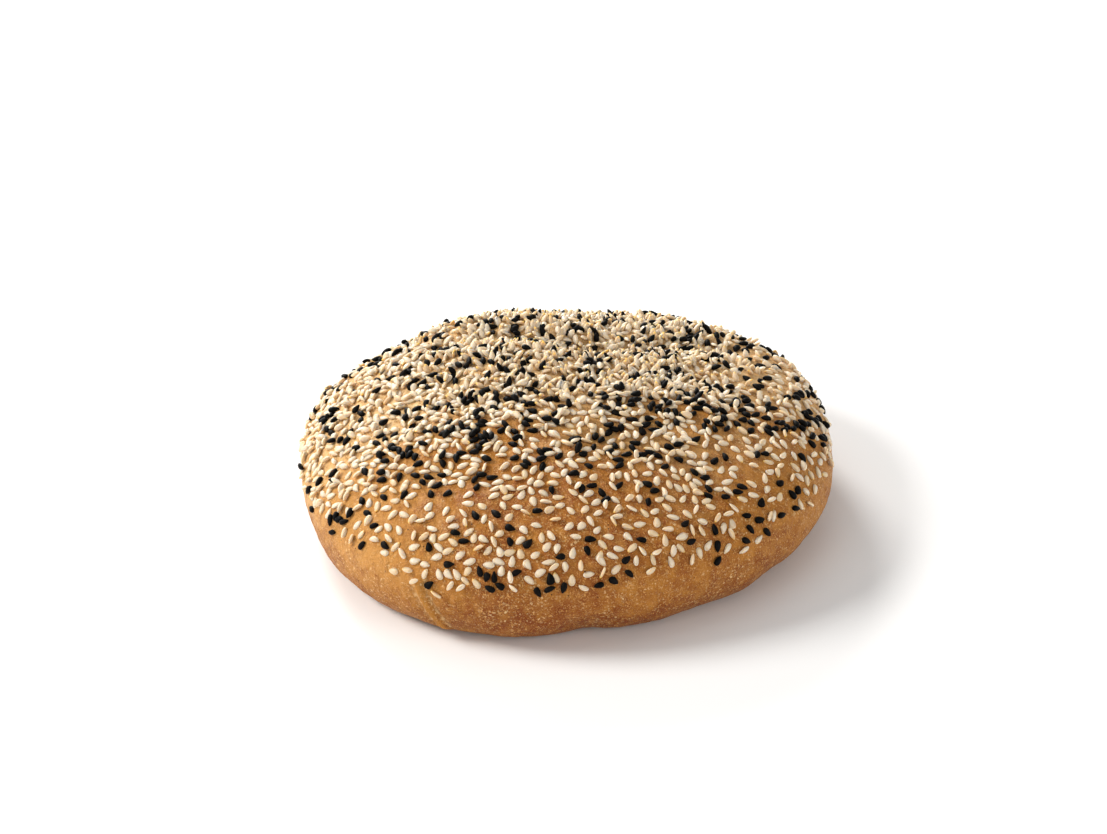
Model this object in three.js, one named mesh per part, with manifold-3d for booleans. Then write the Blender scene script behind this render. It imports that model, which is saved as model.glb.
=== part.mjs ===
// A round, uncut, seeded loaf: a low dome of baked dough with a flat foot, a rolled-in lower edge and
// soft finger-pressed grooves on top, strewn with white sesame and black nigella seeds.
// Millimetres, +Z up. The origin is the middle of the flat foot, and +Y points to the back of the loaf.
import * as THREE from 'three';
import { mergeVertices } from 'three/addons/utils/BufferGeometryUtils.js';
import Module from 'manifold-3d';

const wasm = await Module();
wasm.setup();

const degree = Math.PI / 180;

// Driving dimensions of the bare loaf.
const loaf = {
  radius: 76.9,          // mean radius at the widest level
  height: 44.3,          // of the plain dome, before its swellings
  widestLevel: 15.6,     // height of the widest level above the table
  widestRise: 0.09,      // share by which that level is lower at the back and higher at the front
  footShare: 0.828,      // foot radius as a share of the widest radius
  footTuck: 0.053,       // how much further the foot is tucked in on the right than on the left
  sidePower: 2.15,       // roundness of the side: 2 is an ellipse, more is fuller
  crownPower: 1.89,      // roundness of the crown: less than 2 is steeper
  middle: [0.55, 0.95],  // shift that puts the middle of the outline over the origin
};

// The outline's departures from a circle: waves round the loaf, with a size and the angle of a crest.
const outlineWaves = [
  { waves: 2, share: 0.050, crest: 40 * degree },
  { waves: 3, share: 0.022, crest: 38 * degree },
  { waves: 4, share: 0.024, crest: -32 * degree },
];

// Broad swellings of the dome, each a soft mound, or a soft dip where its height is negative.
const swellings = [
  { at: [-26, 36], reach: 22, height: 9.8 },
  { at: [30, 36], reach: 22, height: -2.2 },
  { at: [-8, -20], reach: 26, height: 1.8 },
  { at: [20, -6], reach: 12, height: 1.2 },
];

// Grooves pressed into the dough before baking, each along a line from one point to another.
const grooves = [
  { from: [-36, 23], to: [4, 20], width: 6, depth: 3.2 },
  { from: [4, 20], to: [46, 36], width: 6, depth: 2.8 },
  { from: [6, -3], to: [34, 9], width: 5, depth: 1.4 },
  { from: [-2, -28], to: [34, -34], width: 8, depth: 1.8 },
  { from: [-46, -41], to: [-6, -48], width: 6, depth: 1.2 },
  { from: [38, 12], to: [51, -20], width: 6, depth: 1.8 },
];

// Seeds, with the share of the length at which each is widest.
const seedKinds = {
  sesame: { length: 3.4, width: 2.1, thick: 1.4, widestAt: 0.42 },
  nigella: { length: 2.9, width: 1.8, thick: 1.7, widestAt: 0.46 },
};

const strewing = {
  count: 262,            // seeds modelled, spread evenly where the loaf carries them
  lowest: 18,            // height above the table where the seeds stop
  everyDark: 3,          // every third seed is a nigella seed
  sunk: 0.6,             // depth to which a seed is baked into the crust
  lean: 7 * degree,      // most that a seed tips out of the surface
  randomStart: 7,
};

const crownRings = 15;    // rings of facets from the crown to the widest level, each six facets longer
const lowerRings = 4;     // rings of facets from the foot's edge to the widest level

function seededRandom(start) {
  let state = start;
  return () => {
    state = (state * 16807) % 2147483647;
    return state / 2147483647;
  };
}

function outlineRadius(angle) {
  const swing = outlineWaves.reduce((sum, w) => sum + w.share * Math.cos(w.waves * (angle - w.crest)), 0);
  return loaf.radius * (1 + swing);
}

function distanceToLine(x, y, { from, to }) {
  const [dx, dy] = [to[0] - from[0], to[1] - from[1]];
  const along = ((x - from[0]) * dx + (y - from[1]) * dy) / (dx * dx + dy * dy);
  const t = THREE.MathUtils.clamp(along, 0, 1);
  return Math.hypot(x - from[0] - t * dx, y - from[1] - t * dy);
}

// Height that the swellings add to the dome and the grooves take off it, above a point of the table.
function relief(x, y) {
  const added = swellings.reduce((sum, s) => {
    const away = Math.hypot(x - s.at[0], y - s.at[1]) / s.reach;
    return sum + s.height * Math.exp(-away * away / 2);
  }, 0);
  return grooves.reduce((sum, g) => {
    const away = distanceToLine(x, y, g) / g.width;
    return sum - g.depth * Math.exp(-away * away);
  }, added);
}

// A point of the bare loaf. Level runs from -1 at the foot's edge, through 0 at the widest level, to 1 at the
// crown.
function crustPoint(angle, level) {
  const radius = outlineRadius(angle);
  const widest = loaf.widestLevel * (1 - loaf.widestRise * Math.sin(angle));
  const foot = loaf.footShare - loaf.footTuck * Math.cos(angle);
  const below = level < 0;
  const turn = Math.max(level, 0) * Math.PI / 2;
  const share = below
    ? foot + (1 - foot) * Math.sqrt(1 - level * level)
    : Math.max(Math.cos(turn), 0) ** (2 / loaf.crownPower);
  const rise = below
    ? widest * (1 + level)
    : widest + (loaf.height - widest) * Math.sin(turn) ** (2 / loaf.sidePower);
  const x = radius * share * Math.cos(angle);
  const y = radius * share * Math.sin(angle);
  const z = rise + Math.sin(turn) ** 2 * relief(x, y);
  return new THREE.Vector3(x + loaf.middle[0], y + loaf.middle[1], z);
}

function crustNormal(angle, level, step = 0.004) {
  const along = crustPoint(angle + step, level).sub(crustPoint(angle - step, level));
  const upward = crustPoint(angle, Math.min(level + step, 1)).sub(crustPoint(angle, level - step));
  return along.cross(upward).normalize();
}

// Closed skin through rings of points, lowest first, which start and end with a single point. Rings may differ
// in how many points they have.
function closedSkin(rings) {
  const faces = [];
  let first = 0;
  rings.slice(1).forEach((upper, index) => {
    const [lowCount, highCount] = [rings[index].length, upper.length];
    const [lowSteps, highSteps] = [lowCount, highCount].map((count) => (count > 1 ? count : 0));
    const base = first;
    const low = (step) => base + step % lowCount;
    const high = (step) => base + lowCount + step % highCount;
    let [i, j] = [0, 0];
    while (i < lowSteps || j < highSteps) {
      const lowIsBehind = (i + 0.5) * highSteps < (j + 0.5) * lowSteps;
      if (j === highSteps || (i < lowSteps && lowIsBehind)) {
        faces.push(low(i), low(i + 1), high(j));
        i += 1;
      } else {
        faces.push(low(i), high(j + 1), high(j));
        j += 1;
      }
    }
    first += lowCount;
  });
  const geometry = new THREE.BufferGeometry().setFromPoints(rings.flat());
  geometry.setIndex(faces);
  return geometry;
}

function ringOf(count, pointAt) {
  return Array.from({ length: count }, (_, step) => pointAt(step / count * 2 * Math.PI));
}

// The facets' rings grow by six from the crown outwards, which keeps the facets about equal.
function bareLoaf() {
  const widestCount = 6 * crownRings;
  const rings = [[new THREE.Vector3(loaf.middle[0], loaf.middle[1], 0)]];
  for (let ring = 0; ring < lowerRings; ring += 1) {
    const level = -Math.cos(ring / lowerRings * Math.PI / 2);
    rings.push(ringOf(widestCount, (angle) => crustPoint(angle, level)));
  }
  for (let ring = crownRings; ring > 0; ring -= 1) {
    rings.push(ringOf(6 * ring, (angle) => crustPoint(angle, 1 - ring / crownRings)));
  }
  rings.push([crustPoint(0, 1)]);
  return closedSkin(rings);
}

// A seed lies along X with a ridge along its top: two rings of four corners, with an end point past each.
function seedShape({ length, width, thick, widestAt }) {
  const stations = [{ at: widestAt - 0.18, girth: 0.92 }, { at: widestAt + 0.2, girth: 0.84 }];
  const rings = stations.map(({ at, girth }) => ringOf(4, (turn) => new THREE.Vector3(
    (at - 0.5) * length,
    -girth * width / 2 * Math.sin(turn),
    girth * thick / 2 * Math.cos(turn),
  )));
  const [bluntEnd, pointedEnd] = [-0.5, 0.5].map((end) => [new THREE.Vector3(end * length, 0, 0)]);
  return closedSkin([bluntEnd, ...rings, pointedEnd]);
}

function solidFrom(geometry) {
  const bare = geometry.clone();
  bare.deleteAttribute('normal');
  bare.deleteAttribute('uv');
  const merged = mergeVertices(bare, 1e-4);
  return new wasm.Manifold(new wasm.Mesh({
    numProp: 3,
    vertProperties: new Float32Array(merged.attributes.position.array),
    triVerts: new Uint32Array(merged.index.array),
  }));
}

function geometryFrom(solid) {
  const mesh = solid.getMesh();
  const geometry = new THREE.BufferGeometry();
  geometry.setAttribute('position', new THREE.BufferAttribute(new Float32Array(mesh.vertProperties), 3));
  geometry.setIndex(new THREE.BufferAttribute(new Uint32Array(mesh.triVerts), 1));
  geometry.computeVertexNormals();
  return geometry;
}

// Gives the level above which a wanted share of the seeded crust lies.
function levelFinder(steps = 200) {
  const passed = [0];
  const levelAt = (step) => 1 - step / steps;
  for (let step = 1; step <= steps; step += 1) {
    const [upper, lower] = [crustPoint(Math.PI, levelAt(step - 1)), crustPoint(Math.PI, levelAt(step))];
    const band = (Math.abs(upper.x) + Math.abs(lower.x)) * upper.distanceTo(lower);
    passed.push(passed[step - 1] + (lower.z > strewing.lowest ? band : 0));
  }
  return (share) => {
    const step = passed.findIndex((area) => area >= share * passed[steps]);
    return levelAt(Math.max(step, 1));
  };
}

// Seeds follow a sunflower spiral, so that they lie evenly, each turned and tipped by a seeded draw.
function strewnSeeds() {
  const random = seededRandom(strewing.randomStart);
  const levelFor = levelFinder();
  const goldenTurn = Math.PI * (3 - Math.sqrt(5));
  const seeds = [];
  for (let place = 0; place < strewing.count; place += 1) {
    const kind = place % strewing.everyDark ? seedKinds.sesame : seedKinds.nigella;
    const level = levelFor((place + 0.5) / strewing.count);
    const angle = place * goldenTurn;
    const normal = crustNormal(angle, level);
    const lift = normal.clone().multiplyScalar(kind.thick / 2 - strewing.sunk);
    const turn = new THREE.Quaternion().setFromUnitVectors(new THREE.Vector3(0, 0, 1), normal);
    const [tipX, tipY] = [random(), random()].map((draw) => strewing.lean * (2 * draw - 1));
    const spin = new THREE.Euler(tipX, tipY, 2 * Math.PI * random(), 'ZXY');
    turn.multiply(new THREE.Quaternion().setFromEuler(spin));
    const geometry = seedShape(kind);
    geometry.applyQuaternion(turn);
    const at = crustPoint(angle, level).add(lift);
    geometry.translate(at.x, at.y, at.z);
    seeds.push(geometry);
  }
  return seeds;
}

function seededLoaf() {
  const whole = strewnSeeds().reduce((sum, seed) => sum.add(solidFrom(seed)), solidFrom(bareLoaf()));
  const crust = new THREE.MeshStandardMaterial({ color: 0xc8925a, roughness: 0.75, metalness: 0 });
  const mesh = new THREE.Mesh(geometryFrom(whole), crust);
  mesh.name = 'seeded_loaf';
  return mesh;
}

const bread = new THREE.Group();
bread.add(seededLoaf());

export default bread;
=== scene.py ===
import bpy
import numpy as np
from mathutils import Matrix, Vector


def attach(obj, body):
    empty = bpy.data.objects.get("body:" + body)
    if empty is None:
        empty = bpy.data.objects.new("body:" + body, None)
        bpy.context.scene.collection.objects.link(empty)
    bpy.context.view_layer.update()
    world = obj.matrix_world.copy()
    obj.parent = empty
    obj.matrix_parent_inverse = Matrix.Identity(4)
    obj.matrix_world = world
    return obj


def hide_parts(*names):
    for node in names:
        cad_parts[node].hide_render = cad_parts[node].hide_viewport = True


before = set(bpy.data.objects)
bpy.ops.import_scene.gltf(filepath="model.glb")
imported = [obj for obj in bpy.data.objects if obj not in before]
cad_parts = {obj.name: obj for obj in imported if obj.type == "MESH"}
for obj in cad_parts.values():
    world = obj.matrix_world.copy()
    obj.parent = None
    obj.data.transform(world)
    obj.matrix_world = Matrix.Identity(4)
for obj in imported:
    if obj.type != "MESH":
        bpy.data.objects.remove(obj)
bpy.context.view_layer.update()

mm = 0.001
degree = np.pi / 180
print("frame loaded")

# Camera at the photo's angle
view = dict(
    elevation=29 * degree,
    distance=1250 * mm,
    target=(-3.8 * mm, 3.9 * mm, 29.7 * mm),
    mmPerPixel=0.285 * mm,      # at the target
    imageWidth=1107,
    sensor=36.0)


def makeCamera():
    data = bpy.data.cameras.new("camera")
    data.sensor_width = view["sensor"]
    # focal length = sensor width x distance / width of the view there
    data.lens = view["sensor"] * view["distance"] / (view["mmPerPixel"] * view["imageWidth"])
    camera = bpy.data.objects.new("camera", data)
    bpy.context.collection.objects.link(camera)
    back = Vector((0, -np.cos(view["elevation"]), np.sin(view["elevation"])))
    camera.location = Vector(view["target"]) + back * view["distance"]
    camera.rotation_euler = (np.pi / 2 - view["elevation"], 0, 0)
    bpy.context.scene.camera = camera


makeCamera()
print("camera placed")


def softNoise(points, size, seed):
    # Random values on a lattice of that size, blended on each axis by t t (3 - 2 t): -1 to 1
    count = 48
    lattice = np.random.default_rng(seed).uniform(-1, 1, (count, count, count))
    cell = points / size + 0.37 * seed
    low = np.floor(cell).astype(int)
    t = cell - low
    blend = t * t * (3 - 2 * t)
    total = np.zeros(points.shape[:-1])
    for corner in np.ndindex(2, 2, 2):
        weight = np.prod(np.where(np.array(corner) == 1, blend, 1 - blend), axis=-1)
        at = (low + np.array(corner)) % count
        total += weight * lattice[at[..., 0], at[..., 1], at[..., 2]]
    return total


def smoothStep(low, high, x):
    # t t (3 - 2 t) with t the share of the way from low to high
    t = np.clip((x - low) / (high - low), 0, 1)
    return t * t * (3 - 2 * t)


def unit(vectors):
    return vectors / np.maximum(np.linalg.norm(vectors, axis=-1, keepdims=True), 1e-12)


def closedFaces(rows, columns):
    # Quads between closed rings, and triangles from the first and last ring to a pole point each.
    # Points are numbered ring by ring, then the low pole, then the high pole.
    ring, step = np.meshgrid(np.arange(rows - 1), np.arange(columns), indexing="ij")
    after = (step + 1) % columns
    a, b = ring * columns + step, ring * columns + after
    quads = np.stack([a, b, b + columns, a + columns], -1).reshape(-1, 4)
    side = np.arange(columns)
    following = (side + 1) % columns
    lowPole, highPole = rows * columns, rows * columns + 1
    top = (rows - 1) * columns
    low = np.stack([np.full(columns, lowPole), following, side], -1)
    high = np.stack([top + side, top + following, np.full(columns, highPole)], -1)
    return quads, np.concatenate([low, high])


def makePiece(name, points, quads, triangles, material):
    mesh = bpy.data.meshes.new(name)
    corners = np.concatenate([quads.ravel(), triangles.ravel()])
    sizes = np.concatenate([np.full(len(quads), 4), np.full(len(triangles), 3)])
    mesh.vertices.add(len(points))
    mesh.vertices.foreach_set("co", points.ravel())
    mesh.loops.add(len(corners))
    mesh.loops.foreach_set("vertex_index", corners)
    mesh.polygons.add(len(sizes))
    mesh.polygons.foreach_set("loop_start", np.concatenate([[0], np.cumsum(sizes)[:-1]]))
    mesh.polygons.foreach_set("loop_total", sizes)
    mesh.polygons.foreach_set("use_smooth", np.ones(len(sizes), bool))
    mesh.materials.append(material)
    mesh.update(calc_edges=True)
    mesh.validate()
    piece = bpy.data.objects.new(name, mesh)
    bpy.context.collection.objects.link(piece)
    return piece


def addValues(piece, name, values):
    # A number or a vector for each point, which a material reads by its name
    kind, field = ("FLOAT", "value") if values.ndim == 1 else ("FLOAT_VECTOR", "vector")
    attribute = piece.data.attributes.new(name, kind, "POINT")
    attribute.data.foreach_set(field, values.astype(np.float32).ravel())


def linear(colour):
    # Screen colour 0 to 255 to the linear values that a shader takes
    c = np.array(colour) / 255
    return (*np.where(c <= 0.04045, c / 12.92, ((c + 0.055) / 1.055) ** 2.4), 1.0)


class Nodes:
    # Short ways to add and join the nodes of one tree
    def __init__(self, tree):
        self.tree = tree
        self.nodes = tree.nodes
        self.links = tree.links

    def put(self, socket, value):
        if isinstance(value, bpy.types.NodeSocket):
            self.links.new(value, socket)
        else:
            socket.default_value = value

    def add(self, kind, settings=(), **inputs):
        node = self.nodes.new(kind)
        for key, value in dict(settings).items():
            setattr(node, key, value)
        for key, value in inputs.items():
            self.put(node.inputs[key.replace("_", " ")], value)
        return node

    def math(self, operation, *values, clamp=False):
        node = self.add("ShaderNodeMath", dict(operation=operation, use_clamp=clamp))
        for socket, value in zip(node.inputs, values):
            self.put(socket, value)
        return node.outputs[0]

    def ramp(self, value, low, high, toLow=0.0, toHigh=1.0):
        node = self.add("ShaderNodeMapRange", dict(interpolation_type="SMOOTHSTEP"))
        for key, item in zip(("Value", "From Min", "From Max", "To Min", "To Max"),
                             (value, low, high, toLow, toHigh)):
            self.put(node.inputs[key], item)
        return node.outputs["Result"]

    def mix(self, share, first, second):
        node = self.add("ShaderNodeMix", dict(data_type="RGBA", blend_type="MIX"))
        self.put(node.inputs["Factor"], share)
        self.put(node.inputs[6], first)
        self.put(node.inputs[7], second)
        return node.outputs[2]

    def noise(self, place, size, detail=2.0, roughness=0.5, distortion=0.0):
        node = self.add("ShaderNodeTexNoise", Vector=place, Scale=1 / size, Detail=detail,
                        Roughness=roughness, Distortion=distortion)
        return node.outputs["Fac"]

    def read(self, name, output="Fac"):
        return self.add("ShaderNodeAttribute", dict(attribute_name=name)).outputs[output]


def newMaterial(name):
    material = bpy.data.materials.new(name)
    material.use_nodes = True
    material.node_tree.nodes.clear()
    return material, Nodes(material.node_tree)


def finishMaterial(n, shader):
    output = n.add("ShaderNodeOutputMaterial")
    n.links.new(shader.outputs[0], output.inputs["Surface"])


# The bare loaf's form, with the same dimensions as its solid
loaf = dict(
    radius=76.9 * mm,        # mean, at the widest level
    height=44.3 * mm,        # of the plain dome
    widestLevel=15.6 * mm,
    widestRise=0.09,         # lower at the back, higher at the front
    footShare=0.828,
    footTuck=0.053,          # further in on the right
    sidePower=2.15,
    crownPower=1.89,
    middle=(0.55 * mm, 0.95 * mm))

outlineWaves = [             # waves round the loaf, share of the radius, angle of a crest
    (2, 0.050, 40 * degree),
    (3, 0.022, 38 * degree),
    (4, 0.024, -32 * degree)]

swellings = [                # place, reach, height
    ((-26, 36), 22, 9.8),
    ((30, 36), 22, -2.2),
    ((-8, -20), 26, 1.8),
    ((20, -6), 12, 1.2)]

grooves = [                  # from, to, width, depth
    ((-36, 23), (4, 20), 6, 3.2),
    ((4, 20), (46, 36), 6, 2.8),
    ((6, -3), (34, 9), 5, 1.4),
    ((-2, -28), (34, -34), 8, 1.8),
    ((-46, -41), (-6, -48), 6, 1.2),
    ((38, 12), (51, -20), 6, 1.8)]


def lineDistance(x, y, start, end):
    # Distance to the nearest point of the stretch from start to end
    (x0, y0), (x1, y1) = start, end
    dx, dy = x1 - x0, y1 - y0
    t = np.clip(((x - x0) * dx + (y - y0) * dy) / (dx * dx + dy * dy), 0, 1)
    return np.hypot(x - x0 - t * dx, y - y0 - t * dy)


def loafRelief(x, y):
    # Sum of bells h exp(-r r / 2) for the swellings, less d exp(-w w) for the grooves, above the table
    x, y = x / mm, y / mm
    total = np.zeros_like(x)
    for (cx, cy), reach, height in swellings:
        total += height * np.exp(-((x - cx) ** 2 + (y - cy) ** 2) / (2 * reach * reach))
    for start, end, width, depth in grooves:
        total -= depth * np.exp(-(lineDistance(x, y, start, end) / width) ** 2)
    return total * mm


def loafPoint(angle, level):
    # Level -1 is the foot's edge, 0 the widest level and 1 the crown. Below 0 the side is a quarter
    # ellipse out from the foot, above 0 a superellipse cos^(2/p), sin^(2/q) of level x 90 degrees.
    swing = sum(share * np.cos(waves * (angle - crest)) for waves, share, crest in outlineWaves)
    radius = loaf["radius"] * (1 + swing)
    widest = loaf["widestLevel"] * (1 - loaf["widestRise"] * np.sin(angle))
    foot = loaf["footShare"] - loaf["footTuck"] * np.cos(angle)
    turn = np.clip(level, 0, 1) * np.pi / 2
    down = np.clip(level, -1, 0)
    above = np.maximum(np.cos(turn), 0) ** (2 / loaf["crownPower"])
    below = foot + (1 - foot) * np.sqrt(1 - down * down)
    share = np.where(level < 0, below, above)
    rise = widest * (1 + down) + (loaf["height"] - widest) * np.sin(turn) ** (2 / loaf["sidePower"])
    x = radius * share * np.cos(angle)
    y = radius * share * np.sin(angle)
    z = rise + np.sin(turn) ** 2 * loafRelief(x, y)
    return np.stack([x + loaf["middle"][0], y + loaf["middle"][1], z], -1)


crustGrid = dict(
    around=560,
    gather=0.28,             # the points round the loaf stand this much closer in front
    gatherAt=-105 * degree,
    lower=44,                # rings from the foot's edge to the widest level
    upper=120,               # rings from there to the crown
    under=5)                 # rings on the flat foot

crustRelief = [              # size of the unevenness, its height, seed
    (15.0 * mm, 0.45 * mm, 3),
    (6.0 * mm, 0.24 * mm, 5),
    (2.4 * mm, 0.11 * mm, 8),
    (1.2 * mm, 0.05 * mm, 9)]

folds = [                    # angle at the middle level, leaning, from level, to level, width, height
    (-120.4, -4.6, -0.94, 0.14, 1.15, 1.00),
    (-112.8, -1.5, -0.55, 0.24, 0.7, 0.22),
    (-128.0, -4.0, -0.50, 0.20, 0.7, 0.18),
    (-124.6, -5.0, -0.70, 0.06, 0.6, 0.20),
    (-104.5, 3.0, -0.80, -0.05, 1.0, 0.16)]

dents = [                    # angle, level, half width, half height in levels, depth
    (-87.0, -0.80, 7.5, 0.50, 2.8),
    (-36.0, -0.72, 8.0, 0.34, 0.9),
    (-62.0, -0.76, 6.0, 0.30, 0.5)]

sunken = dict(
    bedding=0.9 * mm,        # how far the dough has sunk where the seeds lie thickest
    trench=0.9 * mm,         # how much deeper the groove along the crest is
    trenchWidth=4.5)         # in mm

# Front edge of the thickest seeds, in mm from left to right
brow = [(-60, -28), (-32, -19), (3, -18), (14, -12), (34, -6), (60, 2)]


def browDistance(points):
    # How far behind the brow a point is, in mm
    return points[..., 1] / mm - np.interp(points[..., 0] / mm, *np.array(brow).T)


def behindBrow(points, start, end):
    # 0 in front of the brow to 1 behind it, less towards the outline
    fromMiddle = np.hypot(points[..., 0] / mm, points[..., 1] / mm)
    return smoothStep(start, end, browDistance(points)) * (1 - 0.35 * smoothStep(44, 70, fromMiddle))


def hollowShare(x, y, depth):
    # 1 where the loaf's relief is sunk by that depth, 0 where it is level or raised
    middle = loaf["middle"]
    return np.clip(-loafRelief(x - middle[0], y - middle[1]) / depth, 0, 1)


def foldHeight(angle, level):
    # Each fold is height x exp(-(way across / width)^2) with a furrow of 0.6 of that on both sides,
    # fading in and out along its length
    total = np.zeros_like(angle)
    for centre, lean, low, high, width, height in folds:
        across = np.abs(angle / degree - centre - lean * level) * degree * loaf["radius"] / mm
        along = smoothStep(low, low + 0.25, level) * (1 - smoothStep(high - 0.15, high, level))
        ridge = np.exp(-(across / width) ** 2)
        furrow = np.exp(-((across - 1.7 * width) / (0.8 * width)) ** 2)
        total += height * along * (ridge - 0.6 * furrow)
    return total * mm


def trenchDepth(points):
    # depth x exp(-(distance to the groove's line / width)^2)
    x, y = points[..., 0] / mm, points[..., 1] / mm
    away = np.minimum(lineDistance(x, y, *grooves[0][:2]), lineDistance(x, y, *grooves[1][:2]))
    return sunken["trench"] * np.exp(-(away / sunken["trenchWidth"]) ** 2)


def dentDepth(angle, level):
    # Sum of bells: depth x exp(-(way round / width)^2 - (levels / height)^2)
    total = np.zeros_like(angle)
    for centre, middle, width, height, depth in dents:
        across = (angle / degree - centre) * degree * loaf["radius"] / mm / width
        total += depth * np.exp(-across ** 2 - ((level - middle) / height) ** 2)
    return total * mm


def makeCrustSurface():
    # The plain loaf, pushed along its normals by the folds, the sunken dough and the unevenness, which
    # all fade at the foot's edge, and straight inwards by the dents
    lower = -np.cos(np.arange(crustGrid["lower"]) / crustGrid["lower"] * np.pi / 2)
    upper = np.arange(crustGrid["upper"]) / crustGrid["upper"]
    levels = np.concatenate([lower, upper])
    turns = -np.pi + np.arange(crustGrid["around"]) / crustGrid["around"] * 2 * np.pi
    angles = turns - crustGrid["gather"] * np.sin(turns - crustGrid["gatherAt"])
    level, angle = np.meshgrid(levels, angles, indexing="ij")
    plain = loafPoint(angle, level)
    step = 0.003             # to either side of each point, for its normal
    along = loafPoint(angle + step, level) - loafPoint(angle - step, level)
    rise = loafPoint(angle, np.minimum(level + step, 1)) - loafPoint(angle, np.maximum(level - step, -1))
    normal = unit(np.cross(along, rise))
    fold, dent = foldHeight(angle, level), dentDepth(angle, level)
    push = fold - sunken["bedding"] * behindBrow(plain, -10, 10)
    push = push - trenchDepth(plain) * smoothStep(0.2, 0.5, level)
    for size, height, seed in crustRelief:
        push = push + height * softNoise(plain, size, seed)
    push = push * smoothStep(-1.0, -0.86, level)
    points = plain + normal * push[..., None]
    points[..., 0] -= np.cos(angle) * dent
    points[..., 1] -= np.sin(angle) * dent
    points[..., 2] = np.maximum(points[..., 2], 0)
    return points, fold


def gridNormals(points):
    # Cross product of the differences round the ring and from ring to ring
    along = np.roll(points, -1, axis=1) - np.roll(points, 1, axis=1)
    rise = np.gradient(points, axis=0)
    return unit(np.cross(along, rise))


crustPoints, crustFolds = makeCrustSurface()
crustNormals = gridNormals(crustPoints)


def crustTonesAndPaintedLight(points):
    # Browner low on the side, in front and towards the right: partly a darker bake, partly painted shade
    # where those sides face away from the lamps. Lighter on the left shoulder: painted light where the left
    # lamp falls. Lighter on the crest: partly paler dough under the thick seeds, partly painted light on the
    # lit top. Paler in the hollows and grooves, with the light flecks thickest low down and on the right
    x, y, z = points.T
    low = 1 - smoothStep(5 * mm, 24 * mm, z)
    right = smoothStep(20 * mm, 80 * mm, x)
    front = smoothStep(-48 * mm, -14 * mm, x) * (1 - 0.4 * smoothStep(8 * mm, 36 * mm, x))
    front = front * smoothStep(-20 * mm, -50 * mm, y)
    # Painted light: a lighter tone on the left shoulder, where the left lamp falls
    paintedLight = smoothStep(-26 * mm, -64 * mm, x) * smoothStep(4 * mm, 20 * mm, z)
    paintedLight = paintedLight * (1 - 0.35 * smoothStep(-14 * mm, -40 * mm, y))
    patches = softNoise(points, 17 * mm, 41) + 0.6 * softNoise(points, 6 * mm, 43)
    # Lighter crust on the crest: partly paler dough under the thick seeds, partly painted light on the lit
    # top
    crest = behindBrow(points, -10, 14) * (1 - low)
    # Darker tone low down, in front and on the right: partly a darker bake, partly painted shade; less brown
    # on the left shoulder and crest: painted light
    bakeAndPaintedShade = 0.14 + 0.42 * low + 0.02 * right + 0.46 * front - 0.25 * paintedLight - 0.2 * crest + 0.30 * patches
    paintedLight = 0.8 * paintedLight + 0.2 * crest
    dip = hollowShare(x, y, 2.2 * mm)
    hollow = np.exp(-(np.hypot((x - 14 * mm) / 26, (y + 26 * mm) / 13) / mm) ** 2)
    pale = (0.7 * dip + 0.9 * hollow) * (1 - low) + 0.30 * patches
    flecks = 0.70 + 0.30 * low + 0.25 * right
    return [np.clip(value, 0, 1) for value in (bakeAndPaintedShade, pale, flecks, paintedLight, crest)]


def makeCrust(material):
    shares = np.arange(1, crustGrid["under"]) / crustGrid["under"]
    middle = np.array([*loaf["middle"], 0])
    under = middle + (crustPoints[0] - middle) * shares[:, None, None]
    rings = np.concatenate([under, crustPoints])
    rows, columns = rings.shape[:2]
    crown = crustPoints[-1].mean(0) + (0, 0, 0.02 * mm)
    points = np.concatenate([rings.reshape(-1, 3), middle[None], crown[None]])
    quads, triangles = closedFaces(rows, columns)
    piece = makePiece("crust", points, quads, triangles, material)
    for name, values in zip(("bakeAndPaintedShade", "pale", "flecks", "paintedLight", "crest"), crustTonesAndPaintedLight(points)):
        addValues(piece, name, values)
    fold = np.zeros(len(points))
    fold[len(under.reshape(-1, 3)):-2] = crustFolds.ravel() / mm
    addValues(piece, "fold", fold)
    return piece


# Where the seeds lie
strewing = dict(
    sesame=2740,             # seeds strewn of each kind, a few of which find no room
    nigella=850,
    lowest=19 * mm,          # mean height of the seeds' lower edge
    ragged=3.4 * mm,         # how much that edge wanders up and down
    choices=(8, 4),          # draws from which each kind's freest place is taken
    tries=12,                # ways it is tried there
    spread=2.4 * mm,         # how far apart those are
    apart=1.0 * mm,          # free room round a seed beyond which more counts for nothing
    reach=6.5 * mm,          # how far off a seed is still looked at as a support
    flat=0.25 * mm,          # a seed that lies lower than this lies on the dough
    pressed=0.24,            # share of its thickness that a seed is pressed into the dough
    unruly=(0.06, 0.12),     # how far the slopes along and across a lying seed stray
    tip=(38, 80),            # how far a seed on its edge is tipped, in degrees
    tipSunk=0.32 * mm,       # how deep its edge sits in the dough
    lean=(28, 66),           # slope of a standing seed, in degrees
    leanAside=0.25,          # how far its slope to the side strays
    planted=0.32,            # height of its middle, as a share of its upright length
    steepest=0.75,           # steepest slope that a seed leans at on its neighbours
    spares=3,                # places that are tried before a seed is left out
    draw=21,
    shapeDraw=50)            # for the first kind's own unevenness, and the next for the second

# Length, width and thickness and how much they vary, how high seeds lie on each other, the share that
# stands up on the crest, and the share that lies on its edge
seedKinds = dict(
    sesame=dict(size=(3.25 * mm, 1.90 * mm, 1.02 * mm), vary=(0.12, 0.12, 0.14), stack=1.0 * mm,
                standing=0.62, onEdge=0.38),
    nigella=dict(size=(3.15 * mm, 1.95 * mm, 1.55 * mm), vary=(0.12, 0.14, 0.12), stack=0.8 * mm,
                 standing=0.372, onEdge=0))


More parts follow.
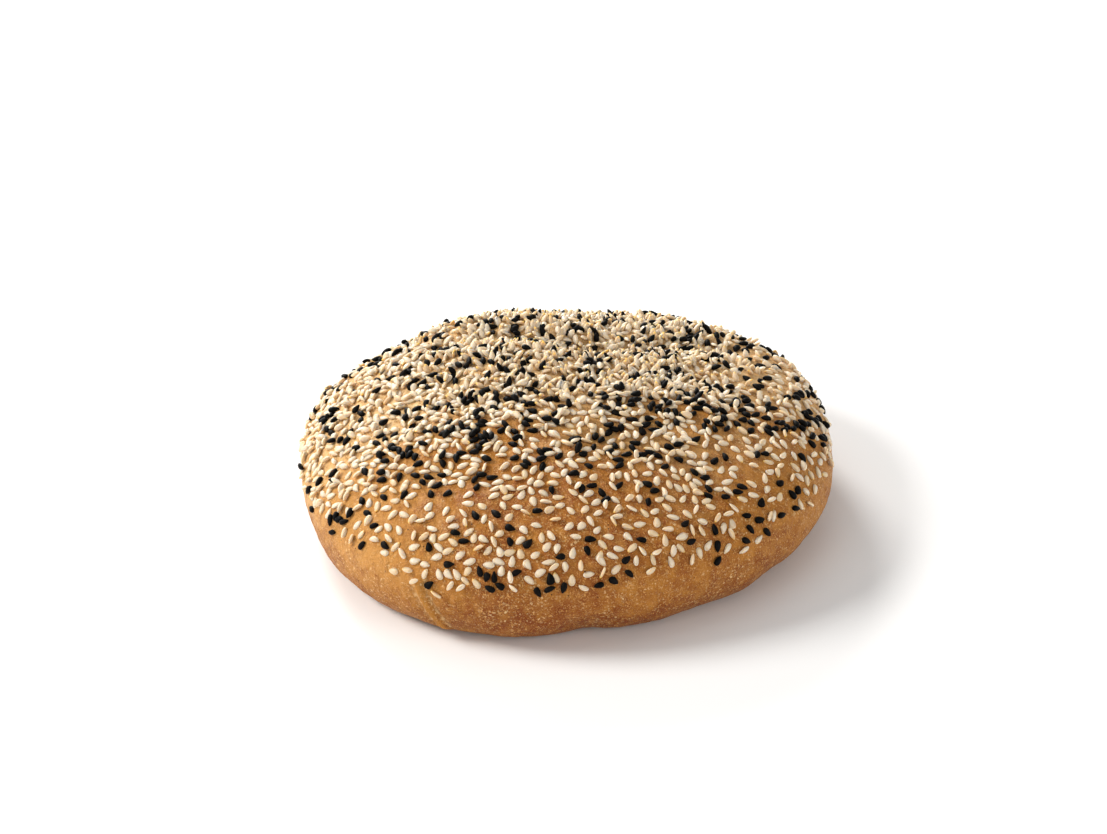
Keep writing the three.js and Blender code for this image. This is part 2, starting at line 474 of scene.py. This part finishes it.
def thickness(points):
    # Share of the crust that is hidden by seeds: half in front, more behind the brow and on the crest,
    # less at the right and on the left in front, with two bare places low in front
    x, y, z = points[..., 0] / mm, points[..., 1] / mm, points[..., 2]
    crest = behindBrow(points, -36, 8)
    patches = softNoise(points, 13 * mm, 12) + 0.6 * softNoise(points, 6 * mm, 14)
    cover = (0.55 + 0.61 * crest + 0.06 * patches) * (1 - 0.40 * smoothStep(26, 56, x))
    cover = cover * (1 - 0.25 * smoothStep(-30, -56, x) * smoothStep(-4, -22, y))
    bare = np.exp(-(np.hypot((x + 33) / 12, (y + 52) / 6)) ** 2)
    bare += 0.8 * np.exp(-(np.hypot((x + 3) / 12, (y + 62) / 6)) ** 2)
    cover = cover * (1 - 0.75 * np.clip(bare, 0, 1))
    edge = strewing["lowest"] + strewing["ragged"] * softNoise(points, 16 * mm, 17)
    return np.clip(cover, 0.08, 2) * smoothStep(-2.0 * mm, 3.5 * mm, z - edge)


def uprightShare(points):
    # The seeds stand on the crest, not on the loaf's left and right shoulders
    x = points[..., 0] / mm
    return behindBrow(points, -6, 12) * smoothStep(-46, -22, x) * (1 - smoothStep(46, 66, x))


def darkShare(points):
    # The nigella seeds run together in the grooves, along the brow and in clumps
    x, y = points[..., 0], points[..., 1]
    dip = hollowShare(x, y, 2 * mm)
    clumps = softNoise(points, 9 * mm, 31) + 0.7 * softNoise(points, 4.5 * mm, 33)
    left = smoothStep(-42 * mm, -64 * mm, x)
    band = np.exp(-((browDistance(points) + 11 - 0.12 * np.maximum(x / mm, 0)) / 8) ** 2)
    return (0.72 + 0.5 * dip + 0.7 * band + 0.9 * smoothStep(0.1, 0.7, clumps)) * (1 - 0.4 * left)


def cellAreas(points):
    along = np.roll(points, -1, axis=1) - points
    rise = np.gradient(points, axis=0)
    return np.linalg.norm(np.cross(along, rise), axis=-1)


def pickPlaces(weights, count, rng):
    # Grid places drawn with a chance that follows the weights
    total = np.cumsum(weights.ravel())
    draws = np.searchsorted(total, rng.uniform(0, total[-1], count))
    return np.stack(np.unravel_index(draws, weights.shape), -1)


def onCrust(rows, columns):
    # Points and normals of the crust, blended from the four grid points round each place
    across = crustPoints.shape[1]
    rows = np.clip(rows, 0, crustPoints.shape[0] - 1.001)
    r, c = rows.astype(int), np.floor(columns).astype(int)
    s, t = (rows - r)[:, None], (columns - c)[:, None]
    blended = []
    for grid in (crustPoints, crustNormals):
        low = (1 - t) * grid[r, c % across] + t * grid[r, (c + 1) % across]
        high = (1 - t) * grid[r + 1, c % across] + t * grid[r + 1, (c + 1) % across]
        blended.append((1 - s) * low + s * high)
    return blended[0], unit(blended[1])


class Heap:
    # The seeds laid so far: centres, axes along, across and up, half sizes, kind, and whether they stand
    def __init__(self, room):
        self.count = 0
        self.centre = np.zeros((room, 3))
        self.axes = np.zeros((room, 3, 3))
        self.half = np.zeros((room, 3))
        self.kind = np.zeros(room, int)
        self.stands = np.zeros(room, bool)

    def lay(self, centre, axes, size, kind, stands):
        at = self.count
        self.centre[at], self.axes[at], self.half[at], self.kind[at] = centre, axes, size / 2, kind
        self.stands[at] = stands
        self.count += 1

    def supports(self, places, normals, ownAxes, size, reach):
        # Height above each place, along its normal, of the highest seed there: for a seed in its own
        # axes, its half thickness x (1 - r r)^0.4, with r the way out from its middle. Also the room
        # left between two ellipsoids, distance - first radius - second radius on that line, to the
        # next seed, and the distance to the next standing one.
        laid = slice(0, self.count)
        near = np.linalg.norm(self.centre[laid] - places.mean((0, 1)), axis=1) < reach
        if not near.any():
            return np.zeros(places.shape[:2]), np.full(len(places), reach), np.full(len(places), reach)
        centre, axes, half = self.centre[laid][near], self.axes[laid][near], self.half[laid][near]
        way = places[:, :, None] - centre
        own = np.einsum("tpsk,sak->tpsa", way, axes) / half
        squared = own[..., 0] ** 2 + own[..., 1] ** 2
        facing = np.maximum(np.abs(normals @ axes[:, 2].T), 0.35)[:, None]
        top = half[:, 2] * (np.maximum(1 - squared, 0) ** 0.4 - own[..., 2]) / facing
        far = np.linalg.norm(way[:, 0], axis=2)
        ownWay = np.einsum("tsk,tak->tsa", way[:, 0], ownAxes) / (0.5 * size)
        room = far * (1 - 1 / np.linalg.norm(own[:, 0], axis=2) - 1 / np.linalg.norm(ownWay, axis=2))
        upright = np.where(self.stands[laid][near], far, reach).min(axis=1)
        height = np.where(squared < 1, np.maximum(top, 0), 0).max(axis=2)
        return height, room.min(axis=1), upright


def freest(heap, choices, cover):
    # Of the drawn grid places, the one with the largest distance to the next seed x root of the cover
    rows, columns = choices.T
    if heap.count == 0:
        return choices[0]
    way = heap.centre[None, :heap.count] - crustPoints[rows, columns][:, None]
    nearest = np.sqrt((way * way).sum(2).min(1))
    return choices[np.argmax(nearest * np.sqrt(cover[rows, columns]))]


def tryPlaces(heap, row, column, steps, size, stands, rng):
    # Of several places near the drawn one, the one where the seed lies lowest and furthest from
    # others, or for a standing seed furthest from other standing ones. A lying seed leans from its
    # lower to its higher supports, and rises until it clears them all.
    tries = strewing["tries"]
    shift = rng.uniform(-0.5, 0.5, (2, tries)) * strewing["spread"]
    points, normals = onCrust(row + shift[0] / steps[0], column + shift[1] / max(steps[1], 0.2 * mm))
    spin = rng.uniform(0, 2 * np.pi, (tries, 1))
    side = unit(np.cross(normals, (0.31, 0.95, 0.05)))
    along = np.cos(spin) * side + np.sin(spin) * np.cross(normals, side)
    across = np.cross(normals, along)
    u = np.array([0, -0.36, 0.36, 0, 0, -0.2, 0.2]) * size[0]
    v = np.array([0, 0, 0, -0.3, 0.3, 0, 0]) * size[1]
    places = points[:, None] + u[:, None] * along[:, None] + v[:, None] * across[:, None]
    ownAxes = np.stack([along, across, normals], axis=1)
    height, room, upright = heap.supports(places, normals, ownAxes, size, strewing["reach"])
    steepest = strewing["steepest"]
    pitch = np.clip((height[:, 2] - height[:, 1]) / (0.72 * size[0]), -steepest, steepest)
    roll = np.clip((height[:, 4] - height[:, 3]) / (0.6 * size[1]), -steepest, steepest)
    lift = np.maximum((height - pitch[:, None] * u - roll[:, None] * v).max(axis=1), 0)
    score = lift + 0.5 * height.mean(axis=1) - 0.5 * np.minimum(room, strewing["apart"])
    if stands:
        score = -0.6 * np.minimum(upright, 3 * mm) - np.minimum(room, strewing["apart"])
    best = np.argmin(score)
    return points[best], normals[best], along[best], lift[best], pitch[best], roll[best]


def turned(normal, along, pitch, roll):
    across = np.cross(normal, along)
    first = unit(along + pitch * normal)
    second = across + roll * normal
    second = unit(second - (second @ first) * first)
    return np.stack([first, second, np.cross(first, second)])


def poseSeed(stands, tips, size, lift, pitch, roll, rng):
    # Height of its middle above the dough and its slopes: standing, tipped on its edge, or lying
    if stands:
        lean = rng.uniform(*strewing["lean"]) * degree
        height = np.sin(lean) * size[0] * strewing["planted"] + np.cos(lean) * size[2] * 0.3
        return height, np.tan(lean), rng.normal(0, strewing["leanAside"])
    if tips:
        tip = rng.uniform(*strewing["tip"]) * degree
        height = lift * 0.7 + 0.5 * np.sin(tip) * size[1] + 0.5 * np.cos(tip) * size[2] - strewing["tipSunk"]
        return height, pitch, np.tan(tip) * rng.choice([-1, 1])
    pitch += rng.normal(0, strewing["unruly"][0])
    roll += rng.normal(0, strewing["unruly"][1])
    pressed = strewing["pressed"] * (1 - smoothStep(0.1 * mm, 0.5 * mm, lift))
    return lift + size[2] * (0.5 - pressed), pitch, roll


def strewSeeds():
    # Each seed tries its places in turn, and is left out where others already lie too high
    rng = np.random.default_rng(strewing["draw"])
    area = cellAreas(crustPoints)
    cover = thickness(crustPoints)
    dark = darkShare(crustPoints)
    uprights = uprightShare(crustPoints)
    kinds = list(seedKinds)
    order = rng.permutation(np.repeat([0, 1], [strewing["sesame"], strewing["nigella"]]))
    spares = strewing["spares"]
    chances = [pickPlaces(area * cover * weight, len(order) * spares * count, rng).reshape(-1, count, 2)
               for weight, count in zip((1.0, dark), strewing["choices"])]
    used = [0, 0]
    rowStep = np.linalg.norm(np.gradient(crustPoints, axis=0), axis=-1)
    columnStep = np.linalg.norm(np.roll(crustPoints, -1, axis=1) - crustPoints, axis=-1)
    heap = Heap(len(order))
    for kind in order:
        facts = seedKinds[kinds[kind]]
        vary = np.array(facts["vary"])
        size = np.array(facts["size"]) * (1 + vary * np.clip(rng.normal(0, 0.6, 3), -1, 1))
        lot = rng.uniform()
        for attempt in range(spares):
            row, column = freest(heap, chances[kind][used[kind]], cover)
            used[kind] += 1
            standing = uprights[row, column] * facts["standing"]
            stands = lot < standing
            steps = rowStep[row, column], columnStep[row, column]
            settled = tryPlaces(heap, row, column, steps, size, stands, rng)
            point, normal, along, lift, pitch, roll = settled
            limit = facts["stack"] * smoothStep(0.3, 0.8, cover[row, column]) + strewing["flat"]
            if lift < limit or stands:
                break
        if lift >= limit and not stands:
            continue
        tips = lift < strewing["flat"] and lot < standing + facts["onEdge"] * (1 - standing)
        height, pitch, roll = poseSeed(stands, tips, size, lift, pitch, roll, rng)
        heap.lay(point + height * normal, turned(normal, along, pitch, roll), size, kind, stands)
    return heap


heap = strewSeeds()
print("seeds laid:", heap.count)


# The two seeds' shapes
seedShapes = dict(
    sesame=dict(columns=6, stations=(0.02, 0.10, 0.28, 0.52, 0.76, 0.93), bluntEnd=0.46, pointedEnd=0.70,
                face=0.8, edge=0.52),
    nigella=dict(columns=6, stations=(0.03, 0.16, 0.42, 0.70, 0.90), bluntEnd=0.40, pointedEnd=0.76,
                 face=1.0, edge=1.0))


def seedShape(columns, stations, bluntEnd, pointedEnd, face, edge):
    # Along u from 0 to 1 the girth is u^a (1 - u)^b over its largest value, a at the blunt end and b
    # at the point. Round v it is y = cos v, z = sin v, to powers that flatten the faces. Each from -1 to 1.
    u = np.array(stations)[:, None]
    widest = bluntEnd / (bluntEnd + pointedEnd)
    largest = widest ** bluntEnd * (1 - widest) ** pointedEnd
    girth = u ** bluntEnd * (1 - u) ** pointedEnd / largest
    v = np.arange(columns)[None] / columns * 2 * np.pi
    x = np.broadcast_to(2 * u - 1, (len(stations), columns))
    y = girth * np.sign(np.cos(v)) * np.abs(np.cos(v)) ** face
    z = girth ** 0.8 * np.sign(np.sin(v)) * np.abs(np.sin(v)) ** edge
    rings = np.stack([x, y, z], -1).reshape(-1, 3)
    return np.concatenate([rings, [[-1, 0, 0], [1, 0, 0]]])


def makeSeeds(name, kind, material):
    facts = seedShapes[name]
    shape = seedShape(**facts)
    mine = np.where(heap.kind[:heap.count] == kind)[0]
    half, axes, centre = heap.half[mine], heap.axes[mine], heap.centre[mine]
    rng = np.random.default_rng(strewing["shapeDraw"] + kind)
    bend = rng.normal(0, 0.16, len(mine))[:, None]
    skew = rng.normal(0, 0.10, len(mine))[:, None]
    x, y, z = shape.T
    own = np.stack([np.broadcast_to(x, (len(mine), len(x))),
                    y * (1 + skew * x) + skew * (1 - x * x),
                    z + bend * (1 - x * x)], -1)
    points = centre[:, None] + np.einsum("spa,sak->spk", own * half[:, None], axes)
    quads, triangles = closedFaces(len(facts["stations"]), facts["columns"])
    start = (np.arange(len(mine)) * len(shape))[:, None, None]
    piece = makePiece(name, points.reshape(-1, 3), (quads + start).reshape(-1, 4),
                      (triangles + start).reshape(-1, 3), material)
    addValues(piece, "seedPlace", np.broadcast_to(shape, own.shape).reshape(-1, 3))
    addValues(piece, "seedDraw", np.repeat(rng.uniform(0, 1, len(mine)), len(shape)))
    return piece


# Materials
crustColours = dict(
    golden=(180, 118, 46),
    pale=(190, 148, 92),
    # Brown: the bake, which also paints shade low down, in front and on the right
    brown=(128, 60, 10),
    light=(216, 158, 86),
    # Lighter tone on the left shoulder: painted light where the left lamp falls
    paintedLight=(228, 174, 104),
    # Crest tone: partly paler dough under the thick seeds, partly painted light on the lit top
    crest=(236, 200, 146),
    # Fleck colour: the light flecks, and also the painted highlights in the furrows beside the folds
    fleck=(238, 202, 146),
    fold=(196, 134, 58),
    bran=(48, 30, 20))

crustGrain = dict(           # sizes of the unevenness in colour and relief
    clusters=9.0 * mm,
    patches=3.4 * mm,
    mottle=1.2 * mm,
    fine=0.44 * mm,
    threads=1.5 * mm,
    flecks=1.0 * mm,
    bran=2.9 * mm)

sesameColours = dict(
    cream=(215, 201, 180),
    warm=(211, 189, 157),
    rim=(200, 162, 110),
    toasted=(232, 178, 74))

nigellaColours = dict(
    black=(8, 7, 6),
    grey=(22, 19, 17))

crustFinish = dict(
    roughness=(0.46, 0.64),  # where the mottle is low, and where it is high
    specular=0.18,
    bump=0.85 * mm)

sesameFinish = dict(
    roughness=0.42,
    specular=0.45,
    grain=0.7 * mm,          # size of the grain
    bump=0.08 * mm,
    seeThrough=0.9,          # share of the light that passes through the flesh
    depth=1.3 * mm,          # how far it goes in
    tint=(1.0, 0.90, 0.62))  # how far for red, green and blue, as shares of that

nigellaFinish = dict(
    roughness=0.48,
    specular=0.06,
    grain=0.35 * mm,
    bump=0.1 * mm)


def makeGrainGroup():
    # Fine unevenness of a dry skin: a broad and a fine noise, as a height and as a mottle from 0 to 1
    group = bpy.data.node_groups.new("fineGrain", "ShaderNodeTree")
    group.interface.new_socket("Place", in_out="INPUT", socket_type="NodeSocketVector")
    group.interface.new_socket("Size", in_out="INPUT", socket_type="NodeSocketFloat")
    group.interface.new_socket("Fine", in_out="INPUT", socket_type="NodeSocketFloat")
    for name in ("Height", "Mottle"):
        group.interface.new_socket(name, in_out="OUTPUT", socket_type="NodeSocketFloat")
    n = Nodes(group)
    given = n.add("NodeGroupInput")
    frequency = n.math("DIVIDE", 1.0, given.outputs["Size"])
    broad = n.add("ShaderNodeTexNoise", Vector=given.outputs["Place"], Scale=frequency, Detail=3.0)
    finer = n.math("MULTIPLY", frequency, 4.3)
    fine = n.add("ShaderNodeTexNoise", Vector=given.outputs["Place"], Scale=finer, Detail=2.0)
    height = n.math("MULTIPLY_ADD", fine.outputs["Fac"], given.outputs["Fine"], broad.outputs["Fac"])
    result = n.add("NodeGroupOutput")
    n.links.new(height, result.inputs["Height"])
    n.links.new(n.ramp(broad.outputs["Fac"], 0.32, 0.68), result.inputs["Mottle"])
    return group


fineGrain = makeGrainGroup()


def addGrain(n, place, size, fine):
    return n.add("ShaderNodeGroup", dict(node_tree=fineGrain), Place=place, Size=size, Fine=fine).outputs


def makeCrustMaterial():
    # Colour = golden, to the pale tone in the hollows, to a lighter tone on the left shoulder that is
    # painted light where the left lamp falls, and to the crest tone, partly paler dough under the thick
    # seeds and partly painted light on the lit top, each by its attribute;
    # to brown by the browning attribute, partly a darker bake and partly painted shade low down, in front
    # and on the right, and by three mottles; with a light grain, light threads and flecks by "flecks", the
    # folds by "fold" with painted highlights in the furrows beside them, and bran specks. The threads are
    # where a noise passes 0.5, and a fleck is where a cell's random size is above the distance from its
    # middle.
    # Height = the same noises, threads and flecks added up.
    material, n = newMaterial("bakedCrust")
    place = n.add("ShaderNodeTexCoord").outputs["Object"]
    clusters = n.noise(place, crustGrain["clusters"], 2.0)
    patches = n.noise(place, crustGrain["patches"], 4.0, 0.6)
    mottle = n.noise(place, crustGrain["mottle"], 3.0, 0.65)
    fine = n.noise(place, crustGrain["fine"], 2.0, 0.6)
    bakeAndPaintedShade = n.math("MULTIPLY_ADD", n.math("SUBTRACT", patches, 0.5), 2.4, n.read("bakeAndPaintedShade"))
    bakeAndPaintedShade = n.math("MULTIPLY_ADD", n.math("SUBTRACT", mottle, 0.5), 2.2, bakeAndPaintedShade)
    bakeAndPaintedShade = n.math("MULTIPLY_ADD", n.math("SUBTRACT", fine, 0.5), 1.5, bakeAndPaintedShade, clamp=True)
    colour = n.mix(n.read("pale"), linear(crustColours["golden"]), linear(crustColours["pale"]))
    # Painted light: lighter on the left shoulder, and a little on the crest
    colour = n.mix(n.math("MULTIPLY", n.read("paintedLight"), 0.75), colour, linear(crustColours["paintedLight"]))
    # Crest tone: partly paler dough, partly painted light on the lit top
    colour = n.mix(n.math("MULTIPLY", n.read("crest"), 0.85), colour, linear(crustColours["crest"]))
    # Browner by the browning mask: partly a darker bake, partly painted shade low down, in front and on the
    # right
    colour = n.mix(bakeAndPaintedShade, colour, linear(crustColours["brown"]))
    grain = n.math("ADD", n.math("MULTIPLY", mottle, 0.4), n.math("MULTIPLY", fine, 0.6))
    colour = n.mix(n.ramp(grain, 0.50, 0.62, 0.0, 0.80), colour, linear(crustColours["light"]))
    wander = n.noise(place, crustGrain["threads"], 2.0, 0.5, 0.8)
    thread = n.ramp(n.math("ABSOLUTE", n.math("SUBTRACT", wander, 0.5)), 0.032, 0.004)
    thread = n.math("MULTIPLY", thread, n.ramp(mottle, 0.46, 0.60))
    warp = n.add("ShaderNodeVectorMath", dict(operation="MULTIPLY_ADD"))
    n.links.new(n.add("ShaderNodeCombineXYZ", X=mottle, Y=fine, Z=wander).outputs[0], warp.inputs[0])
    warp.inputs[1].default_value = (1.6 * mm, -1.3 * mm, 1.1 * mm)
    n.links.new(place, warp.inputs[2])
    cells = n.add("ShaderNodeTexVoronoi", Vector=warp.outputs[0], Scale=1 / crustGrain["flecks"])
    random = n.add("ShaderNodeSeparateXYZ", Vector=cells.outputs["Color"])
    inside = n.math("SUBTRACT", n.math("MULTIPLY", random.outputs[0], 0.40), cells.outputs["Distance"])
    fleck = n.math("MULTIPLY", n.ramp(inside, -0.04, 0.08), n.ramp(random.outputs[1], 0.2, 0.9, 0.4, 1.0))
    amount = n.math("MULTIPLY", n.read("flecks"), n.ramp(clusters, 0.36, 0.62, 0.35, 1.0))
    light = n.math("MULTIPLY", n.math("MAXIMUM", n.math("MULTIPLY", thread, 0.5), fleck), amount)
    fold = n.read("fold")
    colour = n.mix(n.ramp(fold, 0.12, 0.60, 0.0, 0.75), colour, linear(crustColours["fold"]))
    # Painted highlights: the fleck colour in the furrows beside each fold, where light catches their sides
    edge = n.math("MULTIPLY", n.ramp(fold, -0.06, -0.50), n.ramp(mottle, 0.42, 0.62, 0.1, 0.65))
    colour = n.mix(edge, colour, linear(crustColours["fleck"]))
    colour = n.mix(light, colour, linear(crustColours["fleck"]))
    branCells = n.add("ShaderNodeTexVoronoi", Vector=place, Scale=1 / crustGrain["bran"])
    bran = n.math("MULTIPLY", n.ramp(branCells.outputs["Distance"], 0.095, 0.06, 0.0, 0.85),
                  n.ramp(branCells.outputs["Color"], 0.40, 0.60))
    colour = n.mix(bran, colour, linear(crustColours["bran"]))
    height = n.math("MULTIPLY_ADD", mottle, 1.0, n.math("MULTIPLY", patches, 1.4))
    height = n.math("MULTIPLY_ADD", fine, 0.6, height)
    height = n.math("MULTIPLY_ADD", light, 0.14, height)
    bump = n.add("ShaderNodeBump", Height=height, Strength=1.0, Distance=crustFinish["bump"])
    roughness = n.ramp(mottle, 0.3, 0.7, *crustFinish["roughness"])
    shader = n.add("ShaderNodeBsdfPrincipled", Base_Color=colour, Roughness=roughness,
                   Specular_IOR_Level=crustFinish["specular"], Normal=bump.outputs[0])
    finishMaterial(n, shader)
    return material


def makeSesameMaterial():
    # Cream by the seed's own draw, a faint rim line r = 0.73 round its face, and a toasted point
    material, n = newMaterial("hulledSesame")
    draw = n.read("seedDraw")
    place = n.add("ShaderNodeTexCoord").outputs["Object"]
    own = n.add("ShaderNodeSeparateXYZ", Vector=n.read("seedPlace", "Vector"))
    x, y = own.outputs[0], own.outputs[1]
    r = n.math("SQRT", n.math("ADD", n.math("MULTIPLY", x, x), n.math("MULTIPLY", y, y)))
    colour = n.mix(n.ramp(draw, 0.25, 1.0), linear(sesameColours["cream"]), linear(sesameColours["warm"]))
    rim = n.math("MULTIPLY", n.ramp(r, 0.56, 0.72), n.ramp(r, 0.90, 0.74))
    colour = n.mix(n.math("MULTIPLY", rim, 0.5), colour, linear(sesameColours["rim"]))
    tip = n.math("MULTIPLY", n.ramp(x, 0.60, 0.95), n.ramp(draw, 0.45, 0.85, 0.05, 0.9))
    colour = n.mix(tip, colour, linear(sesameColours["toasted"]))
    finish = sesameFinish
    grain = addGrain(n, place, finish["grain"], 0.5)
    bump = n.add("ShaderNodeBump", Height=grain["Height"], Strength=0.25, Distance=finish["bump"])
    shader = n.add("ShaderNodeBsdfPrincipled", Base_Color=colour, Roughness=finish["roughness"],
                   Specular_IOR_Level=finish["specular"], Subsurface_Weight=finish["seeThrough"],
                   Subsurface_Radius=finish["tint"], Subsurface_Scale=finish["depth"],
                   Normal=bump.outputs[0])
    finishMaterial(n, shader)
    return material


def makeNigellaMaterial():
    # Near black with a grey mottle by the seed's own draw, and fine wrinkles
    material, n = newMaterial("nigellaSkin")
    draw = n.read("seedDraw")
    place = n.add("ShaderNodeTexCoord").outputs["Object"]
    finish = nigellaFinish
    grain = addGrain(n, place, finish["grain"], 0.6)
    share = n.math("MULTIPLY", grain["Mottle"], n.ramp(draw, 0.3, 1.0))
    colour = n.mix(share, linear(nigellaColours["black"]), linear(nigellaColours["grey"]))
    bump = n.add("ShaderNodeBump", Height=grain["Height"], Strength=0.6, Distance=finish["bump"])
    shader = n.add("ShaderNodeBsdfPrincipled", Base_Color=colour, Roughness=finish["roughness"],
                   Specular_IOR_Level=finish["specular"], Normal=bump.outputs[0])
    finishMaterial(n, shader)
    return material


crust = makeCrust(makeCrustMaterial())
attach(crust, "root")
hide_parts("seeded_loaf")
print("crust made")

for name, makeMaterial in (("sesame", makeSesameMaterial), ("nigella", makeNigellaMaterial)):
    seeds = makeSeeds(name, list(seedKinds).index(name), makeMaterial())
    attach(seeds, "root")
    print(name, "seeds made")


# Floor with a low rim far out, and the lights
studio = dict(
    floorRadius=2.2,
    rimRadius=3.0,
    rimHeight=0.5,
    floorColour=(243, 243, 243),
    fill=0.39,               # light from all round
    lampDistance=1.6,
    lampColour=(1.0, 0.98, 0.95))

lamps = dict(                # direction to the lamp, size in m, power
    left=((-0.80, 0.02, 0.60), 0.70, 24.5),
    back=((-0.32, 0.84, 0.44), 0.55, 22.0),
    top=((-0.10, 0.10, 0.99), 1.30, 2.5),
    right=((0.79, -0.55, 0.26), 1.20, 10.5),
    front=((-0.55, -0.78, 0.30), 1.00, 3.5))


def makeFloor():
    # A flat disc that rises at its rim as h t t, t the share of the way from floor to rim
    flatRings, rimRings, columns = 15, 9, 96
    t = np.linspace(0, 1, rimRings)
    radius = np.concatenate([np.linspace(0.2, studio["floorRadius"], flatRings + 1)[:-1],
                             studio["floorRadius"] + t * (studio["rimRadius"] - studio["floorRadius"])])
    height = np.concatenate([np.zeros(flatRings), studio["rimHeight"] * t * t])
    angle = np.arange(columns) / columns * 2 * np.pi
    points = np.stack([radius[:, None] * np.cos(angle), radius[:, None] * np.sin(angle),
                       np.broadcast_to(height[:, None], (len(radius), columns))], -1).reshape(-1, 3)
    quads, triangles = closedFaces(len(radius), columns)
    points = np.concatenate([points, [[0, 0, 0], [0, 0, 0]]])
    material, n = newMaterial("paleFloor")
    shader = n.add("ShaderNodeBsdfPrincipled", Base_Color=linear(studio["floorColour"]), Roughness=0.9,
                   Specular_IOR_Level=0.1)
    finishMaterial(n, shader)
    floor = makePiece("floor", points, quads, triangles[:columns], material)


def makeLights():
    for name, (direction, size, power) in lamps.items():
        data = bpy.data.lights.new(name, "AREA")
        data.shape = "DISK"
        data.size = size
        data.energy = power
        data.color = studio["lampColour"]
        lamp = bpy.data.objects.new(name, data)
        bpy.context.collection.objects.link(lamp)
        lamp.location = Vector(direction).normalized() * studio["lampDistance"]
        lamp.rotation_euler = lamp.location.to_track_quat("Z", "Y").to_euler()
    world = bpy.data.worlds.new("studio")
    world.use_nodes = True
    background = world.node_tree.nodes["Background"]
    background.inputs["Color"].default_value = (1.0, 1.0, 1.0, 1.0)
    background.inputs["Strength"].default_value = studio["fill"]
    bpy.context.scene.world = world


makeFloor()
makeLights()
bpy.context.scene.view_settings.view_transform = "Standard"
print("floor and lights made")
